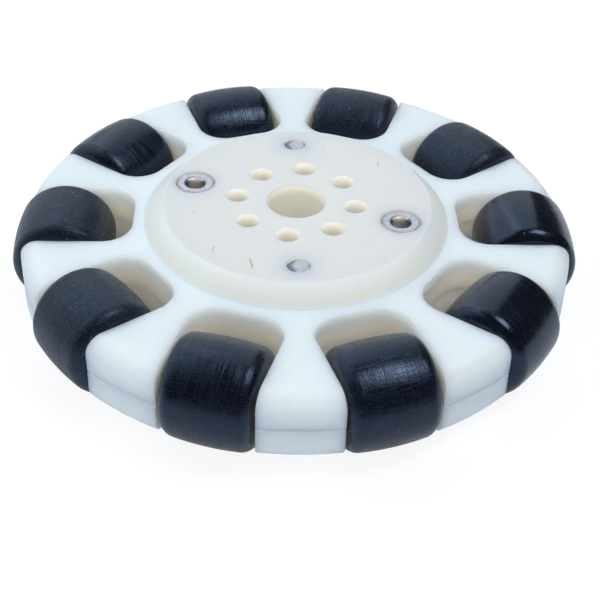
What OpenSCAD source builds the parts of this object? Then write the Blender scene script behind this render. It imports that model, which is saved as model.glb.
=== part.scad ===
// Omni wheel: a split frame that clamps a ring of free-running rollers.
//
// Lengths are millimetres. The origin is the middle of the hub bore, in the plane
// where the two frame halves meet. +Z runs along the bore and +X along a spoke.
// Each half carries half of every pocket and axle seat. The lower half is the upper
// one turned over about X, so one mould or one program makes both.

/* [Wheel] */
// Diameter over the crowns of the rollers
wheel_d = 127; // [124:0.5:140]
// Number of rollers round the rim
roller_n = 10; // [8:1:10]

/* [Rollers] */
// Largest diameter of a roller, at the middle of its crown
roller_d = 22.4; // [20:0.1:23]
// Length of a roller between its flat ends
roller_len = 19.4; // [16:0.1:19.6]
// Radius that rounds each end of a roller
roller_edge_r = 3; // [0.5:0.1:4]

/* [Axles] */
// Diameter of the steel axle pin in each roller
axle_d = 4; // [3:0.1:6]
// Least thickness of plastic between the seats of neighbouring axle pins
seat_wall = 1.7; // [1:0.1:3]
// Bevel on both ends of an axle pin
axle_bevel = 0.4; // [0.1:0.1:0.8]

/* [Frame] */
// Thickness of the spokes, both halves together
web_t = 16.6; // [14:0.1:20]
// How far the rollers stand out past the ends of the spokes
roller_proud = 2.1; // [1:0.1:3]
// Radius that rounds the top of each spoke end
rim_round_r = 4; // [1:0.1:6]
// Gap between a roller's end and the side of its pocket
pocket_side_gap = 0.65; // [0.3:0.05:0.8]
// Gap between a roller and the inner end of its pocket
pocket_back_gap = 4.7; // [2:0.1:6]
// Radius in the two inner corners of a pocket
pocket_corner_r = 6.6; // [2:0.1:8]
// Bevel along the outer edge of the joint face, which leaves a fine seam line
seam_bevel = 0.3; // [0.1:0.05:0.6]

/* [Hub] */
// Thickness of the hub, both halves together
hub_t = 24.8; // [23:0.1:30]
// Diameter of the flat face of the hub
hub_face_d = 60; // [57:0.5:60]
// Diameter of the bore for the drive shaft
bore_d = 12.7; // [6:0.1:16]
// Bevel round both ends of the bore
bore_bevel = 0.35; // [0.1:0.05:1]
// Number of bolt holes round the bore
bolt_n = 8; // [4:4:8]
// Diameter of the circle through the bolt holes
bolt_circle_d = 26.5; // [24:0.1:30]
// Diameter of each bolt hole
bolt_hole_d = 5.1; // [3:0.1:6]

/* [Clamp screws] */
// Diameter of the circle through the four clamp screws
screw_circle_d = 48; // [46:0.1:48.5]
// Thread diameter of a clamp screw
screw_d = 5; // [4:0.1:5.5]
// Diameter of a screw head
screw_head_d = 8.5; // [8:0.1:9]
// Height of a screw head
screw_head_h = 5; // [4:0.1:6]
// Bevel round the top of a screw head
screw_head_bevel = 0.45; // [0.1:0.05:0.6]
// Width of the hexagon socket across its flats
socket_af = 4; // [3:0.1:4.5]
// Depth of the hexagon socket
socket_depth = 2.6; // [1.5:0.1:3.5]
// Width of the bevel that leads into the hexagon socket, measured from its flats
socket_bevel = 0.55; // [0.35:0.05:0.7]
// Angle at which the hexagon sockets stopped when the screws were tightened
socket_turn = 20; // [0:5:55]
// Bevel on the tip of a screw
screw_tip_bevel = 0.5; // [0.1:0.05:0.8]
// Depth of a screw head below the hub face
head_recess = 0.25; // [0:0.05:1]
// Depth of a screw tip below the hub face
tip_recess = 0.1; // [0:0.05:1]
// Gap round a screw head in its counterbore
counterbore_gap = 0.3; // [0.1:0.05:0.8]

/* [Fits] */
// Radial clearance of a roller on its axle pin
axle_running_gap = 0.05; // [0.02:0.01:0.1]
// Radial clearance of an axle pin in its seat
axle_seat_gap = 0.01; // [0:0.01:0.05]
// Clearance at each end of an axle pin in its seat
axle_end_gap = 0.1; // [0:0.05:0.3]
// Radial clearance of a screw in the half that carries its head
screw_hole_gap = 0.25; // [0.1:0.05:0.5]
// Radial clearance of a screw in the half that it threads into
screw_thread_gap = 0.02; // [0.01:0.01:0.1]

/* [Hidden] */
$fn = 96;
// Cuts run this far past the face that they open
overcut = 1;
// Angle from one roller to the next
pitch = 360 / roller_n;
wheel_r = wheel_d / 2;
roller_r = roller_d / 2;
axle_r = axle_d / 2;
// Radius of the circle on which the axle pins lie
axle_circle_r = wheel_r - roller_r;
axle_seat_r = axle_r + axle_seat_gap;
// The seats of two neighbours come closest at their inner edges, inside a spoke
axle_seat_len = 2 * (axle_circle_r - axle_seat_r) * tan(pitch / 2) - seat_wall / cos(pitch / 2);
axle_len = axle_seat_len - 2 * axle_end_gap;
spoke_r = wheel_r - roller_proud;
pocket_w = roller_len + 2 * pocket_side_gap;
pocket_back_r = axle_circle_r - roller_r - pocket_back_gap;
web_half = web_t / 2;
hub_half = hub_t / 2;
hub_face_r = hub_face_d / 2;
// The flank of the hub slopes at 45 degrees down to the spokes
hub_foot_r = hub_face_r + hub_half - web_half;
bore_r = bore_d / 2;
screw_r = screw_d / 2;
screw_circle_r = screw_circle_d / 2;
screw_head_r = screw_head_d / 2;
counterbore_r = screw_head_r + counterbore_gap;
counterbore_depth = screw_head_h + head_recess;
// Length of a screw under its head
screw_len = hub_t - counterbore_depth - tip_recess;
// The screws stand on the spokes next to +X and -X. Two heads are on each side.
heads_up = [pitch, 180 + pitch];
heads_down = [-pitch, 180 - pitch];
screw_angles = concat(heads_up, heads_down);

frame_color = [0.93, 0.94, 0.93];
roller_color = [0.12, 0.13, 0.16];
steel_color = [0.74, 0.75, 0.77];

function two_digits(i) = i < 10 ? str("0", i) : str(i);
function roller_name(i) = str("roller_", two_digits(i));
function axle_name(i) = str("roller_axle_", two_digits(i));
function screw_name(i) = str("clamp_screw_", i);
function roller_angle(i) = (i - 0.5) * pitch;

// Places children on the rim at roller i, with +X outwards and +Z along its axle.
module at_roller(i) {
    rotate([0, 0, roller_angle(i)])
        translate([axle_circle_r, 0, 0])
            rotate([-90, 0, 0])
                children();
}

// A cylinder along Z with both ends bevelled, standing on the origin.
module bevelled_rod(r, length, bottom_bevel, top_bevel) {
    rotate_extrude()
        polygon([
            [0, 0],
            [r - bottom_bevel, 0],
            [r, bottom_bevel],
            [r, length - top_bevel],
            [r - top_bevel, length],
            [0, length]
        ]);
}

// Section of the upper half through a spoke, from the bore's axis outwards.
module frame_section() {
    difference() {
        union() {
            square([spoke_r, web_half]);
            polygon([[0, 0], [hub_foot_r, 0], [hub_foot_r, web_half], [hub_face_r, hub_half], [0, hub_half]]);
        }
        rim_corner();
        translate([spoke_r, 0])
            rotate(45)
                square(seam_bevel * sqrt(2), center = true);
    }
}

// The sharp corner that the round edge of a spoke end leaves off.
module rim_corner() {
    translate([spoke_r - rim_round_r, web_half - rim_round_r])
        difference() {
            square(rim_round_r + overcut);
            circle(rim_round_r);
        }
}

// Plan of a pocket: straight sides, open outwards, with rounded inner corners.
module pocket_plan() {
    corner_x = pocket_back_r + pocket_corner_r;
    corner_y = pocket_w / 2 - pocket_corner_r;
    translate([corner_x, -pocket_w / 2])
        square([wheel_r + overcut - corner_x, pocket_w]);
    translate([pocket_back_r, -corner_y])
        square([pocket_corner_r + overcut, 2 * corner_y]);
    for (side = [-1, 1])
        translate([corner_x, side * corner_y])
            circle(pocket_corner_r);
}

module pockets() {
    for (i = [1:roller_n])
        rotate([0, 0, roller_angle(i)])
            translate([0, 0, -overcut])
                linear_extrude(web_half + 2 * overcut)
                    pocket_plan();
}

// Half-round seats that the two halves close round the axle pins.
module axle_seats() {
    for (i = [1:roller_n])
        at_roller(i)
            cylinder(r = axle_seat_r, h = axle_seat_len, center = true);
}

module bore_and_bolt_holes() {
    translate([0, 0, -overcut])
        cylinder(r = bore_r, h = hub_half + 2 * overcut);
    translate([0, 0, hub_half - bore_bevel])
        cylinder(r1 = bore_r, r2 = bore_r + bore_bevel + overcut, h = bore_bevel + overcut);
    for (i = [0:bolt_n - 1])
        rotate([0, 0, i * 360 / bolt_n])
            translate([bolt_circle_d / 2, 0, -overcut])
                cylinder(d = bolt_hole_d, h = hub_half + 2 * overcut);
}

module at_screw(angle) {
    rotate([0, 0, angle])
        translate([screw_circle_r, 0, 0])
            children();
}

// Two screws enter the half through counterbores and two thread into it.
module screw_holes() {
    for (angle = heads_up)
        at_screw(angle) {
            translate([0, 0, -overcut])
                cylinder(r = screw_r + screw_hole_gap, h = hub_half + 2 * overcut);
            translate([0, 0, hub_half - counterbore_depth])
                cylinder(r = counterbore_r, h = counterbore_depth + overcut);
        }
    for (angle = heads_down)
        at_screw(angle)
            translate([0, 0, -overcut])
                cylinder(r = screw_r + screw_thread_gap, h = hub_half + 2 * overcut);
}

module frame_half() {
    color(frame_color)
        difference() {
            rotate_extrude()
                frame_section();
            pockets();
            axle_seats();
            bore_and_bolt_holes();
            screw_holes();
        }
}

// Half section of a roller: the crown is an arc of the wheel's own outer circle, so
// that the wheel rolls smoothly, and each edge arc is tangent to the crown and the end.
module roller_section() {
    edge_y = roller_len / 2 - roller_edge_r;
    edge_x = sqrt(pow(wheel_r - roller_edge_r, 2) - pow(edge_y, 2)) - axle_circle_r;
    tangent_y = edge_y * wheel_r / (wheel_r - roller_edge_r);
    intersection() {
        translate([-axle_circle_r, 0])
            circle(wheel_r, $fn = 720);
        translate([0, -tangent_y])
            square([roller_d, 2 * tangent_y]);
    }
    translate([0, -roller_len / 2])
        square([edge_x, roller_len]);
    for (side = [-1, 1])
        translate([edge_x, side * edge_y])
            circle(roller_edge_r);
}

module roller(i) {
    color(roller_color)
        at_roller(i)
            difference() {
                rotate_extrude()
                    roller_section();
                cylinder(r = axle_r + axle_running_gap, h = roller_len + 2 * overcut, center = true);
            }
}

module roller_axle(i) {
    color(steel_color)
        at_roller(i)
            translate([0, 0, -axle_len / 2])
                bevelled_rod(axle_r, axle_len, axle_bevel, axle_bevel);
}

// A socket head cap screw, head up, with the top of its head at the origin.
module cap_screw() {
    flat_r = socket_af / 2;
    corner_r = flat_r / cos(30);
    difference() {
        union() {
            translate([0, 0, -screw_head_h])
                bevelled_rod(screw_head_r, screw_head_h, 0, screw_head_bevel);
            translate([0, 0, -screw_head_h - screw_len])
                bevelled_rod(screw_r, screw_len, screw_tip_bevel, 0);
        }
        translate([0, 0, -socket_depth])
            rotate(socket_turn)
                cylinder(r = corner_r, h = socket_depth + overcut, $fn = 6);
        translate([0, 0, -socket_bevel])
            cylinder(r1 = flat_r, r2 = flat_r + socket_bevel + overcut, h = socket_bevel + overcut);
    }
}

module clamp_screw(i) {
    angle = screw_angles[i - 1];
    turned_over = i > len(heads_up) ? 180 : 0;
    color(steel_color)
        at_screw(angle)
            rotate([turned_over, 0, 0])
                translate([0, 0, hub_half - head_recess])
                    cap_screw();
}

frame_half();  // frame_half_upper
rotate([180, 0, 0]) frame_half();  // frame_half_lower
for (i = [1:roller_n]) {
    roller(i);
    roller_axle(i);
}
for (i = [1:len(screw_angles)])
    clamp_screw(i);
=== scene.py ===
"""Dresses the omni wheel: the finish of each piece, the studio around it and the camera."""

import math

import bpy
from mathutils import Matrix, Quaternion, Vector


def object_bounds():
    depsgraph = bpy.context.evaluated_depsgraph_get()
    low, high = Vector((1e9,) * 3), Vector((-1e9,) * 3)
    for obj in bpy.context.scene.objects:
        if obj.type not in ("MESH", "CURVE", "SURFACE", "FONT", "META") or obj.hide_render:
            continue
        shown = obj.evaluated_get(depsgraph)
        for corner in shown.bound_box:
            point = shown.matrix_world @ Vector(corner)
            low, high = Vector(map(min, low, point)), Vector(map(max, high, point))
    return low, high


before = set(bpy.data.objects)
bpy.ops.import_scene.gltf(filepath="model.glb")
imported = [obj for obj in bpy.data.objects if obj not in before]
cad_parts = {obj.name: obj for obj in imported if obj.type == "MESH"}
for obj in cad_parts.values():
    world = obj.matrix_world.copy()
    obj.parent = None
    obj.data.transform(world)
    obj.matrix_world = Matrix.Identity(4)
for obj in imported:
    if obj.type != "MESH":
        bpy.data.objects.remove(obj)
cad_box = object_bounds()

MM = 0.001

# The wheel's main sizes, in millimetres, as the construction has them
ROLLER_COUNT = 10
WHEEL_R = cad_box[1].y / MM
ROLLER_R = 11.2
AXLE_CIRCLE_R = WHEEL_R - ROLLER_R
SPOKE_R = WHEEL_R - 2.1
WEB_HALF = 8.3
HUB_HALF = cad_box[1].z / MM
HUB_FACE_R = 30.0
HUB_FOOT_R = HUB_FACE_R + HUB_HALF - WEB_HALF
SCREW_CIRCLE_R = 24.0
SCREW_HEAD_R = 4.25
SCREW_R = 2.5
SOCKET_MOUTH_R = 2.6

# The angle from one roller to the next. The screws stand one step to either side of the X axis
PITCH = math.tau / ROLLER_COUNT


# ---------------------------------------------------------------- shader maths

class Value:
    """A shader socket that takes part in arithmetic, each step adding a Math node."""

    def __init__(self, nodes, socket):
        self.nodes = nodes
        self.socket = socket

    def __add__(self, other):
        return self.nodes.math("ADD", self, other)

    def __radd__(self, other):
        return self.nodes.math("ADD", other, self)

    def __sub__(self, other):
        return self.nodes.math("SUBTRACT", self, other)

    def __rsub__(self, other):
        return self.nodes.math("SUBTRACT", other, self)

    def __mul__(self, other):
        return self.nodes.math("MULTIPLY", self, other)

    def __rmul__(self, other):
        return self.nodes.math("MULTIPLY", other, self)


# Socket names that hold a space
SOCKETS = {
    "Base_Color": "Base Color",
    "Specular_Tint": "Specular Tint",
    "Specular": "Specular IOR Level",
    "Subsurface": "Subsurface Weight",
    "Subsurface_Radius": "Subsurface Radius",
    "Subsurface_Scale": "Subsurface Scale",
    "Emission_Color": "Emission Color",
    "Emission_Strength": "Emission Strength",
}

# A Mix node has sockets of the same names for numbers and colours: these are the colours' places
MIX_COLOR_A = 6
MIX_COLOR_B = 7
MIX_COLOR_RESULT = 2


class Nodes:
    """The nodes of one material or world under construction."""

    def __init__(self, tree):
        self.tree = tree
        self.tree.nodes.clear()

    def node(self, kind, settings=None, **inputs):
        """Adds a node: its settings first, then the values or links of its sockets."""
        made = self.tree.nodes.new(kind)
        for key, value in (settings or {}).items():
            setattr(made, key, value)
        for key, value in inputs.items():
            self.feed(made.inputs[SOCKETS.get(key, key)], value)
        return made

    def feed(self, socket, value):
        """Links a socket to another, or sets it to a constant."""
        if isinstance(value, Value):
            self.tree.links.new(value.socket, socket)
        else:
            socket.default_value = value

    def out(self, made, name=0):
        return Value(self, made.outputs[name])

    def math(self, operation, *values):
        made = self.node("ShaderNodeMath", {"operation": operation})
        for socket, value in zip(made.inputs, values):
            self.feed(socket, value)
        return self.out(made)

    def length(self, a, b):
        return self.math("SQRT", a * a + b * b)

    def ramp(self, value, start, end):
        """0 before start, 1 past end and a smooth rise between; start may be the larger."""
        made = self.node("ShaderNodeMapRange", {"interpolation_type": "SMOOTHSTEP"})
        low, high = (start, end) if start < end else (end, start)
        targets = (0.0, 1.0) if start < end else (1.0, 0.0)
        for socket, item in zip(made.inputs, (value, low, high, *targets)):
            self.feed(socket, item)
        return self.out(made)

    def mix(self, factor, first, second):
        """A colour between two colours."""
        made = self.node("ShaderNodeMix", {"data_type": "RGBA"}, Factor=factor)
        self.feed(made.inputs[MIX_COLOR_A], first)
        self.feed(made.inputs[MIX_COLOR_B], second)
        return self.out(made, MIX_COLOR_RESULT)

    def mix_shaders(self, factor, first, second):
        """Two shaders laid over each other, given as the nodes that make them."""
        made = self.node("ShaderNodeMixShader", Fac=factor)
        self.feed(made.inputs[1], self.out(first))
        self.feed(made.inputs[2], self.out(second))
        return self.out(made)

    def vector(self, x, y, z):
        return self.out(self.node("ShaderNodeCombineXYZ", X=x, Y=y, Z=z))

    def noise(self, place, scale, detail=2.0, roughness=0.5):
        made = self.node(
            "ShaderNodeTexNoise", Vector=place, Scale=scale, Detail=detail, Roughness=roughness
        )
        return self.out(made)

    def place(self):
        """Object coordinates in millimetres: the vector and its three parts."""
        raw = self.out(self.node("ShaderNodeTexCoord"), "Object")
        scaled = self.node("ShaderNodeVectorMath", {"operation": "SCALE"}, Vector=raw, Scale=1 / MM)
        whole = self.out(scaled)
        parts = self.node("ShaderNodeSeparateXYZ", Vector=whole)
        return whole, self.out(parts, "X"), self.out(parts, "Y"), self.out(parts, "Z")

    def normal(self):
        """The three parts of the direction that the surface faces, in object coordinates."""
        raw = self.out(self.node("ShaderNodeTexCoord"), "Normal")
        parts = self.node("ShaderNodeSeparateXYZ", Vector=raw)
        return self.out(parts, "X"), self.out(parts, "Y"), self.out(parts, "Z")


class Finish(Nodes):
    """One material under construction."""

    def __init__(self, name):
        self.material = bpy.data.materials.new(name)
        self.material.use_nodes = True
        super().__init__(self.material.node_tree)

    def surface(self, bump=None, **inputs):
        """The surface shader. Bump is a height in millimetres."""
        if bump is not None:
            inputs["Normal"] = self.out(self.node("ShaderNodeBump", Height=bump, Distance=MM))
        shader = self.out(self.node("ShaderNodeBsdfPrincipled", **inputs))
        self.node("ShaderNodeOutputMaterial", Surface=shader)
        return self.material


# ---------------------------------------------------------------- colours

def shade(*srgb):
    """A colour given as the eye reads it, 0 to 255, turned to light levels."""
    linear = [(c / 255 / 12.92) if c <= 10 else ((c / 255 + 0.055) / 1.055) ** 2.4 for c in srgb]
    return (*linear, 1.0)


NO_GLOW = (0.0, 0.0, 0.0, 1.0)

WEB_WHITE = shade(233, 246, 254)
FLANK_IVORY_PAINTED_LIGHTER = shade(240, 245, 243)
FOOT_PAINTED_SHADE = shade(232, 236, 224)
FACE_IVORY = shade(230, 231, 228)
FACE_PATCH = shade(225, 230, 227)
FACE_TOOL_MARK = shade(220, 221, 212)
FACE_RIM_PAINTED_SHADE = shade(218, 221, 220)
SCREW_PAINTED_SHADE = shade(206, 214, 226)
POCKET_PAINTED_WARM_LIGHT = shade(252, 244, 230)
HOLE_PAINTED_WARM_LIGHT = shade(244, 239, 224)
SCRATCH_BROWN = shade(176, 154, 118)
POCKET_EDGE_GLOW = (0.10, 0.105, 0.115, 1.0)
POCKET_DEEP_GLOW = (0.115, 0.096, 0.062, 1.0)
BORE_GLOW = (0.195, 0.175, 0.15, 1.0)
BOLT_HOLE_GLOW = (0.225, 0.21, 0.195, 1.0)
SEAM_GLOW = (0.17, 0.14, 0.10, 1.0)
OUTER_SEAM_GLOW = (0.08, 0.08, 0.08, 1.0)
FLANK_GLOW = (0.016, 0.016, 0.014, 1.0)

RUBBER_BLACK = shade(6, 10, 22)
RUBBER_MARK = shade(13, 18, 32)
RUBBER_SPECK = shade(98, 106, 122)
RUBBER_SHEEN = (0.51, 0.69, 1.0, 1.0)
DUST = shade(150, 158, 170)

STEEL_DARK = shade(196, 194, 200)
STEEL_LIGHT = shade(212, 210, 216)
OILED_STEEL = shade(204, 197, 188)
PIN_STEEL = shade(190, 191, 194)
GRIME = shade(84, 82, 84)
TIP_DIRT = shade(96, 100, 108)
SOCKET_GLOW = (0.03, 0.03, 0.036, 1.0)
WALL_PAINTED_REFLECTION = (0.30, 0.285, 0.25, 1.0)
LIP_PAINTED_HIGHLIGHT = (0.42, 0.41, 0.42, 1.0)


# ---------------------------------------------------------------- frame

# Scratches on the top of the hub: middle, direction in degrees, length, width and strength
SCRATCHES = (
    (-1.3, 24.7, -45, 4.0, 0.30, 0.55),
    (13.1, -21.8, -27, 4.8, 0.34, 1.0),
    (4.3, -25.4, -48, 3.0, 0.34, 0.7),
    (-9.3, -21.1, -7, 1.7, 0.30, 0.6),
    (11.3, 20.1, -39, 2.0, 0.24, 0.35),
    (-15.0, 19.2, -42, 2.6, 0.24, 0.35),
    (6.3, -7.3, 10, 0.9, 0.35, 0.3),
    (12.0, 3.3, 60, 0.8, 0.35, 0.3),
)
SCRATCH_WANDER = 0.9

# How far down the hollows the painted light of their edges and their painted warm light reach
EDGE_LIGHT_DEPTH = 3.2
WARM_DEPTH = 7.0

# How far the painted light of the seam between the halves and the painted shade round a screw reach
SEAM_HALF = 0.5
SCREW_SHADE_R = 2 * SCREW_HEAD_R


def scratches(f, x, y, grain):
    """How deep the scratches cut at each point, from 0 to 1."""
    total = 0.0
    for middle_x, middle_y, angle, length, width, strength in SCRATCHES:
        c, s = math.cos(math.radians(angle)), math.sin(math.radians(angle))
        dx, dy = x - middle_x, y - middle_y
        along = f.math("ABSOLUTE", dx * c + dy * s)
        across = f.math("ABSOLUTE", dy * c - dx * s + (grain - 0.5) * SCRATCH_WANDER)
        stroke = f.ramp(along, length / 2, length / 5) * f.ramp(across, width, 0.0)
        total = total + strength * stroke
    return total


def to_nearest_screw(f, x, y):
    """The way from the axis of the nearest of the four clamp screws, along X and along Y."""
    screw_x = SCREW_CIRCLE_R * math.cos(PITCH)
    screw_y = SCREW_CIRCLE_R * math.sin(PITCH)
    return x - f.math("SIGN", x) * screw_x, y - f.math("SIGN", y) * screw_y


def frame_plastic():
    """Turned white plastic: cool white spokes, an ivory hub and painted warm light in the hollows.
    """
    f = Finish("frame_plastic")
    place, x, y, z = f.place()
    radius = f.length(x, y)
    bearing = f.math("ARCTAN2", y, x)
    height = f.math("ABSOLUTE", z)
    _, _, normal_z = f.normal()
    facing_up = f.math("ABSOLUTE", normal_z)

    # The zones of the frame, from the hub's face out to the spokes' round ends
    on_face = f.ramp(radius, HUB_FACE_R + 0.3, HUB_FACE_R - 0.5)
    on_hub = f.ramp(radius, HUB_FOOT_R + 0.2, HUB_FOOT_R - 0.8)
    flank = f.ramp(radius, HUB_FACE_R - 0.2, HUB_FACE_R + 0.2)
    flank = flank * f.ramp(radius, HUB_FOOT_R, HUB_FACE_R) * f.ramp(facing_up, 0.5, 0.65)
    foot = f.ramp(radius, HUB_FACE_R + 0.5, HUB_FOOT_R - 0.4)
    outer = f.ramp(radius, SPOKE_R - 0.6, SPOKE_R - 0.1)
    wall = f.ramp(facing_up, 0.7, 0.2) * (1 - outer)
    seam = f.ramp(facing_up, 0.8, 0.7) * f.ramp(height, SEAM_HALF, 0.15) * (1 - on_face)

    # Painted shade greys the plastic round the screws, and no painted light goes into their holes
    to_screw = f.length(*to_nearest_screw(f, x, y))
    screw_shade = f.ramp(to_screw, SCREW_SHADE_R, 2.0)
    off_screws = f.ramp(to_screw, SCREW_HEAD_R + 0.5, SCREW_HEAD_R + 1.0)

    # Painted light stands in for the light that crosses the plastic into the pockets and holes:
    # cool and bright along their edges, and warmer further down
    depth = WEB_HALF + (HUB_HALF - WEB_HALF) * on_face - height
    hollow = wall * f.ramp(depth, 0.5, WARM_DEPTH)
    edge = wall * f.ramp(depth, EDGE_LIGHT_DEPTH, 0.0) * off_screws
    behind_roller = f.ramp(radius, AXLE_CIRCLE_R, AXLE_CIRCLE_R - 6)

    grain = f.noise(place, 2.5, 4.0, 0.6)
    patches = f.noise(place, 0.16, 3.0, 0.6)
    tool_marks = f.noise(f.vector(radius * 1.7, bearing * 1.5, 0.0), 1.0, 3.0, 0.6)
    on_top = f.ramp(z, HUB_HALF - 0.3, HUB_HALF - 0.1)
    cuts = scratches(f, x, y, grain) * on_top

    # The hub is ivory; its flank is painted lighter than its face to stand in for light
    color = f.mix(on_hub, WEB_WHITE, FLANK_IVORY_PAINTED_LIGHTER)
    # Painted shade at the foot of the hub
    color = f.mix(on_hub * foot * 0.6, color, FOOT_PAINTED_SHADE)
    color = f.mix(on_face, color, FACE_IVORY)
    color = f.mix(on_face * f.ramp(patches, 0.35, 0.75) * 0.5, color, FACE_PATCH)
    color = f.mix(on_face * f.ramp(tool_marks, 0.5, 0.8) * 0.35, color, FACE_TOOL_MARK)
    # Painted shade on the hub's face towards its rim
    color = f.mix(on_face * f.ramp(radius, SCREW_CIRCLE_R, HUB_FACE_R) * 0.5, color, FACE_RIM_PAINTED_SHADE)
    # Painted shade round the screws
    color = f.mix(on_face * screw_shade * 0.35, color, SCREW_PAINTED_SHADE)
    # Painted warm light on the walls of the pockets and the holes
    color = f.mix(hollow * (1 - on_face), color, POCKET_PAINTED_WARM_LIGHT)
    color = f.mix(wall * on_face * 0.35, color, HOLE_PAINTED_WARM_LIGHT)
    color = f.mix(cuts * 0.75, color, SCRATCH_BROWN)

    # Painted light, as glow, deep in the pockets and holes and along their edges
    deep = hollow * behind_roller * (1 - 0.6 * on_face)
    hole_glow = f.mix(f.ramp(radius, 7, 10), BORE_GLOW, BOLT_HOLE_GLOW)
    glow = f.mix(deep, NO_GLOW, POCKET_DEEP_GLOW)
    glow = f.mix(edge, glow, f.mix(on_face, POCKET_EDGE_GLOW, hole_glow))
    # Painted light lifts the shade in the seam between the halves
    glow = f.mix(seam, glow, f.mix(outer, SEAM_GLOW, OUTER_SEAM_GLOW))
    # Painted light on the hub's flank, below the face's edge
    glow = f.mix(flank, glow, FLANK_GLOW)
    return f.surface(
        bump=0.01 * grain + 0.012 * tool_marks * on_face - 0.05 * cuts,
        Base_Color=color,
        Roughness=0.42 + 0.1 * grain,
        Subsurface=1.0,
        Subsurface_Radius=(1.0, 0.85, 0.6),
        Subsurface_Scale=6.0 * MM,
        Emission_Color=glow,
        Emission_Strength=1.0,
    )


# ---------------------------------------------------------------- rollers

# Bearings, in degrees, of the spokes between two worn, two less worn and two fresh rollers
WORN_BEARING = 252
LESS_WORN_BEARING = 108
FRESH_BEARING = 36


def rollers_near(f, sector, degrees):
    """1 on the two rollers on either side of a bearing, 0 on all others."""
    off = (sector + 0.5) * PITCH - math.radians(degrees)
    return f.ramp(f.math("COSINE", off), 0.7, 0.9)


def roller_rubber():
    """Hard black rubber, turned: fine grooves round the roller, scores along it and dust."""
    f = Finish("roller_rubber")
    place, x, y, z = f.place()

    # Each point's own place on its roller: along the pin, and round it
    bearing = f.math("ARCTAN2", y, x)
    sector = f.math("FLOOR", bearing * (1 / PITCH))
    swing = bearing - (sector + 0.5) * PITCH
    radius = f.length(x, y)
    outward = radius * f.math("COSINE", swing) - AXLE_CIRCLE_R
    along = radius * f.math("SINE", swing)
    around = f.math("ARCTAN2", z, outward) * ROLLER_R

    # The last part of each vector gives every roller its own pattern
    ring_noise = f.noise(f.vector(along * 2.3, around * 0.05, sector * 7.3), 1.0)
    score_noise = f.noise(f.vector(along * 0.12, around * 1.2, sector * 3.1), 1.0)
    grooves = f.ramp(f.math("ABSOLUTE", ring_noise - 0.5), 0.05, 0.0)
    scores = f.ramp(f.math("ABSOLUTE", score_noise - 0.5), 0.035, 0.0)
    marks = f.math("MAXIMUM", grooves, scores * 0.8)
    grain = f.noise(place, 2.6, 3.0, 0.65)

    # Some of the rollers have run more than others, so they are duller
    worn = rollers_near(f, sector, WORN_BEARING) + 0.8 * rollers_near(f, sector, LESS_WORN_BEARING)
    fresh = rollers_near(f, sector, FRESH_BEARING)

    cells = f.node("ShaderNodeTexVoronoi", Vector=place, Scale=0.33)
    chance = f.out(f.node("ShaderNodeSeparateColor", Color=f.out(cells, "Color")))
    dust = f.ramp(f.out(cells, "Distance"), 0.06, 0.03) * f.ramp(chance, 0.6, 0.62)
    specks = f.ramp(f.noise(place, 3.2, 2.0, 0.7), 0.58, 0.7) * (0.3 + 0.7 * worn)
    color = f.mix(marks * 0.3, RUBBER_BLACK, RUBBER_MARK)
    color = f.mix(dust * 0.7, color, DUST)
    color = f.mix(specks * 0.6, color, RUBBER_SPECK)
    texture = 0.02 * ring_noise + 0.025 * score_noise + 0.048 * grain - 0.014 * marks
    return f.surface(
        bump=texture * (1 + 0.5 * worn - 0.65 * fresh),
        Base_Color=color,
        Roughness=0.13 + 0.11 * grain + 0.2 * marks + 0.12 * worn - 0.06 * fresh,
        Specular=0.62,
        Specular_Tint=RUBBER_SHEEN,
    )


# ---------------------------------------------------------------- steel

# Where the dirt lies thickest round a screw's tip, and which wall of a socket carries a painted
# reflection
DIRT_BEARING = math.radians(232)
HIGHLIGHT_BEARING = math.radians(-34)


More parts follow.
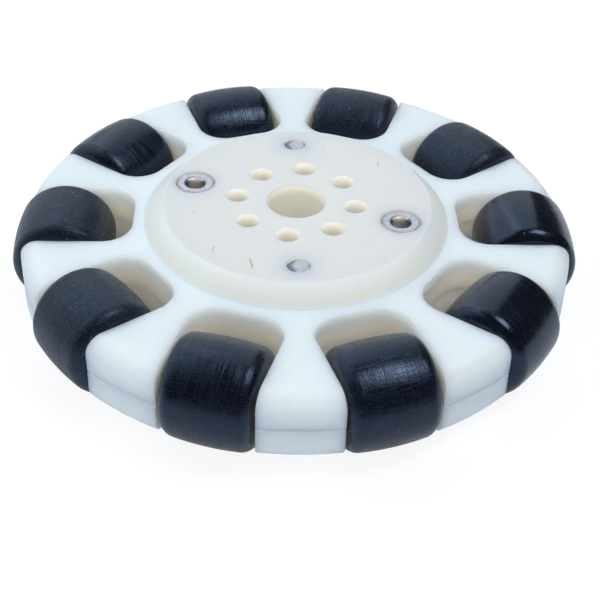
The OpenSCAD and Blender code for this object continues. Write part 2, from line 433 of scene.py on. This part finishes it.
def screw_steel():
    """Plain stainless steel, with an oiled socket, painted light in it and a dirty ring round each
    tip.

    Depths are measured from the hub's face.
    """
    f = Finish("screw_steel")
    place, x, y, z = f.place()
    normal_x, normal_y, _ = f.normal()
    height = f.math("ABSOLUTE", z)
    depth = HUB_HALF - height
    off_x, off_y = to_nearest_screw(f, x, y)
    to_screw = f.length(off_x, off_y)
    cloud = f.noise(place, 1.2, 3.0, 0.6)
    rings = f.noise(f.vector(to_screw * 4.0, height * 0.5, 0.0), 1.0)
    socket = f.ramp(to_screw, SOCKET_MOUTH_R, SOCKET_MOUTH_R - 0.15) * f.ramp(depth, 0.35, 0.55)

    # Dirt lies thickest on one side of the tips, which stand higher than the heads
    dirt_x, dirt_y = math.cos(DIRT_BEARING) / SCREW_R, math.sin(DIRT_BEARING) / SCREW_R
    dirt_side = f.ramp(off_x * dirt_x + off_y * dirt_y, 0.0, 0.5)
    tip = f.ramp(depth, 0.8, 0.6) * f.ramp(to_screw, SCREW_R + 0.15, SCREW_R + 0.05) * (1 - socket)
    turning = f.ramp(f.math("ABSOLUTE", to_screw - 0.9), 0.3, 0.0) * f.ramp(cloud, 0.45, 0.6)
    dirt = tip * (f.ramp(to_screw, 0.8, 1.8) * (0.05 + 0.75 * dirt_side) + 0.3 * turning)

    # The bevels round the tips and the heads are duller than their faces
    head_rim = f.ramp(to_screw, SCREW_HEAD_R - 0.55, SCREW_HEAD_R - 0.4)
    tip_rim = tip * f.ramp(to_screw, SCREW_R - 0.6, SCREW_R - 0.45)

    # Grime fills the bevel of each socket, but the lip over one wall and the lip opposite carry
    # painted highlights instead, and that wall a painted reflection
    highlight_x, highlight_y = math.cos(HIGHLIGHT_BEARING), math.sin(HIGHLIGHT_BEARING)
    bevel = f.ramp(to_screw, 1.9, 2.05) * f.ramp(to_screw, SOCKET_MOUTH_R, SOCKET_MOUTH_R - 0.08)
    bevel = bevel * f.ramp(depth, 0.27, 0.33) * (1 - tip)
    highlight_side = (off_x * highlight_x + off_y * highlight_y) * (1 / SCREW_R)
    highlit_lip_sides = f.ramp(highlight_side, -0.45, -0.7) + 0.6 * f.ramp(highlight_side, 0.6, 0.75)
    lip_highlights = bevel * highlit_lip_sides * f.ramp(depth, 0.9, 0.7)
    reflecting_side = f.ramp(normal_x * highlight_x + normal_y * highlight_y, 0.8, 0.95)
    wall_reflection = socket * reflecting_side * f.ramp(depth, 2.0, 0.6)

    # Painted light: a faint glow in the socket, a painted reflection on one wall, painted
    # highlights on the lips
    glow = f.mix(socket, NO_GLOW, SOCKET_GLOW)
    glow = f.mix(wall_reflection, glow, WALL_PAINTED_REFLECTION)
    glow = f.mix(lip_highlights, glow, LIP_PAINTED_HIGHLIGHT)
    color = f.mix(f.ramp(cloud, 0.35, 0.65), STEEL_DARK, STEEL_LIGHT)
    color = f.mix(socket, color, OILED_STEEL)
    color = f.mix(bevel * (1 - highlit_lip_sides), color, GRIME)
    color = f.mix(dirt * 0.95, color, TIP_DIRT)
    return f.surface(
        bump=0.01 * rings,
        Base_Color=color,
        Metallic=1.0 - 0.7 * tip_rim,
        Roughness=0.22 + 0.15 * cloud + 0.08 * socket + 0.35 * (head_rim + tip_rim),
        Emission_Color=glow,
        Emission_Strength=1.0,
    )


def axle_steel():
    """Ground steel pin."""
    f = Finish("axle_steel")
    place, *_ = f.place()
    cloud = f.noise(place, 3.0)
    return f.surface(Base_Color=PIN_STEEL, Metallic=1.0, Roughness=0.22 + 0.1 * cloud)


# The finish of each kind of node, by how its name starts; the longer of two names comes first
FINISHES = {
    "frame_half": frame_plastic(),
    "roller_axle": axle_steel(),
    "roller": roller_rubber(),
    "clamp_screw": screw_steel(),
}


def dress(node):
    """Lays the finish whose name starts the node's name on all its slots."""
    finish = next(FINISHES[key] for key in FINISHES if node.name.startswith(key))
    for slot in node.material_slots:
        slot.material = finish


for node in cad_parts.values():
    dress(node)


# ---------------------------------------------------------------- studio

KEY_TINT = (0.94, 0.955, 1.0)
BACKDROP_TINT = (0.82, 0.91, 1.0)
FILL_TINT = (1.0, 0.965, 0.97)
WORLD_TINT = (0.94, 0.97, 1.0, 1.0)
WORLD_LEVEL = 0.06
WHITE = (1.0, 1.0, 1.0, 1.0)
PAPER = (0.74, 0.81, 0.90, 1.0)
FLOOR_SIZE = 6
FLOOR_GAP = 0.02 * MM
FLOOR_GLOW = 1.1
FLOOR_IN_REFLECTIONS = 0.25
FLOOR_NEAR_GLOW = 0.8


def direction(azimuth, elevation):
    """A unit vector; azimuth runs from +X towards +Y, in degrees."""
    a, e = math.radians(azimuth), math.radians(elevation)
    return Vector((math.cos(a) * math.cos(e), math.sin(a) * math.cos(e), math.sin(e)))


def panel(name, azimuth, elevation, distance, width, height, level, tint):
    """A flat lamp that faces the wheel. Level is how bright its face looks; paper is 1."""
    data = bpy.data.lights.new(name, "AREA")
    data.shape = "RECTANGLE"
    data.size, data.size_y = width, height
    data.energy = level * math.pi * width * height
    data.color = tint
    lamp = bpy.data.objects.new(name, data)
    bpy.context.scene.collection.objects.link(lamp)
    towards = direction(azimuth, elevation)
    lamp.location = towards * distance
    lamp.rotation_mode = "QUATERNION"
    lamp.rotation_quaternion = towards.to_track_quat("Z", "Y")
    return lamp


def hang_lamps():
    """A hard key lamp, three tall panels behind the wheel and a soft lamp in front."""
    panel(
        "key_lamp", azimuth=37, elevation=65, distance=0.8,
        width=0.33, height=0.33, level=7.6, tint=KEY_TINT,
    )
    for azimuth in (143, 183, 223):
        panel(
            f"backdrop_lamp_{azimuth}", azimuth=azimuth, elevation=36, distance=0.9,
            width=0.66, height=1.12, level=0.95, tint=BACKDROP_TINT,
        )
    fill_lamp = panel(
        "fill_lamp", azimuth=-49, elevation=40, distance=0.9,
        width=0.7, height=0.7, level=2.3, tint=FILL_TINT,
    )
    fill_lamp.visible_glossy = False


def light_world():
    """A dim surround that the camera sees as white."""
    world = bpy.data.worlds.new("studio")
    bpy.context.scene.world = world
    world.use_nodes = True
    n = Nodes(world.node_tree)
    seen = n.out(n.node("ShaderNodeLightPath"), "Is Camera Ray")
    dim = n.node("ShaderNodeBackground", Color=WORLD_TINT, Strength=WORLD_LEVEL)
    white = n.node("ShaderNodeBackground", Color=WHITE)
    n.node("ShaderNodeOutputWorld", Surface=n.mix_shaders(seen, dim, white))


def table_white():
    """White paper that glows where it is seen, a little more far off, and keeps its shadow."""
    f = Finish("table_white")
    _, x, y, _ = f.place()
    path = f.node("ShaderNodeLightPath")
    reflected = FLOOR_IN_REFLECTIONS * f.out(path, "Is Glossy Ray")
    seen = f.math("MAXIMUM", f.out(path, "Is Camera Ray"), reflected)
    seen = f.math("MAXIMUM", seen, f.out(path, "Is Transmission Ray"))
    far = f.ramp(f.length(x, y), 2 * WHEEL_R, 8 * WHEEL_R)
    share = seen * (FLOOR_NEAR_GLOW + (1 - FLOOR_NEAR_GLOW) * far)
    paper = f.node("ShaderNodeBsdfDiffuse", Color=PAPER)
    glow = f.node("ShaderNodeEmission", Strength=FLOOR_GLOW)
    f.node("ShaderNodeOutputMaterial", Surface=f.mix_shaders(share, paper, glow))
    return f.material


def lay_floor():
    """A white table just under the wheel."""
    bpy.ops.object.select_all(action="DESELECT")
    floor_z = cad_box[0].z - FLOOR_GAP
    bpy.ops.mesh.primitive_plane_add(size=FLOOR_SIZE, location=(0, 0, floor_z))
    floor = bpy.context.object
    floor.name = "floor"
    floor.data.materials.append(table_white())


# ---------------------------------------------------------------- camera

CAMERA_AZIMUTH = -37.908
CAMERA_ELEVATION = 35.852
CAMERA_DISTANCE = 308.6 * MM
CAMERA_AIM = (16.57 * MM, -11.21 * MM, 0)
CAMERA_ROLL = math.radians(1.781)
LENS = 80.87
SENSOR_WIDTH = 36
CLIP_NEAR, CLIP_FAR = 0.01, 20


def set_camera():
    """The camera, in front of the wheel and above it."""
    data = bpy.data.cameras.new("camera")
    data.lens = LENS
    data.sensor_width = SENSOR_WIDTH
    data.clip_start, data.clip_end = CLIP_NEAR, CLIP_FAR
    camera = bpy.data.objects.new("camera", data)
    bpy.context.scene.collection.objects.link(camera)
    camera.location = CAMERA_DISTANCE * direction(CAMERA_AZIMUTH, CAMERA_ELEVATION)
    gaze = (Vector(CAMERA_AIM) - camera.location).to_track_quat("-Z", "Y")
    camera.rotation_mode = "QUATERNION"
    camera.rotation_quaternion = gaze @ Quaternion((0, 0, 1), CAMERA_ROLL)
    bpy.context.scene.camera = camera


hang_lamps()
light_world()
lay_floor()
set_camera()
bpy.context.scene.view_settings.view_transform = "Standard"
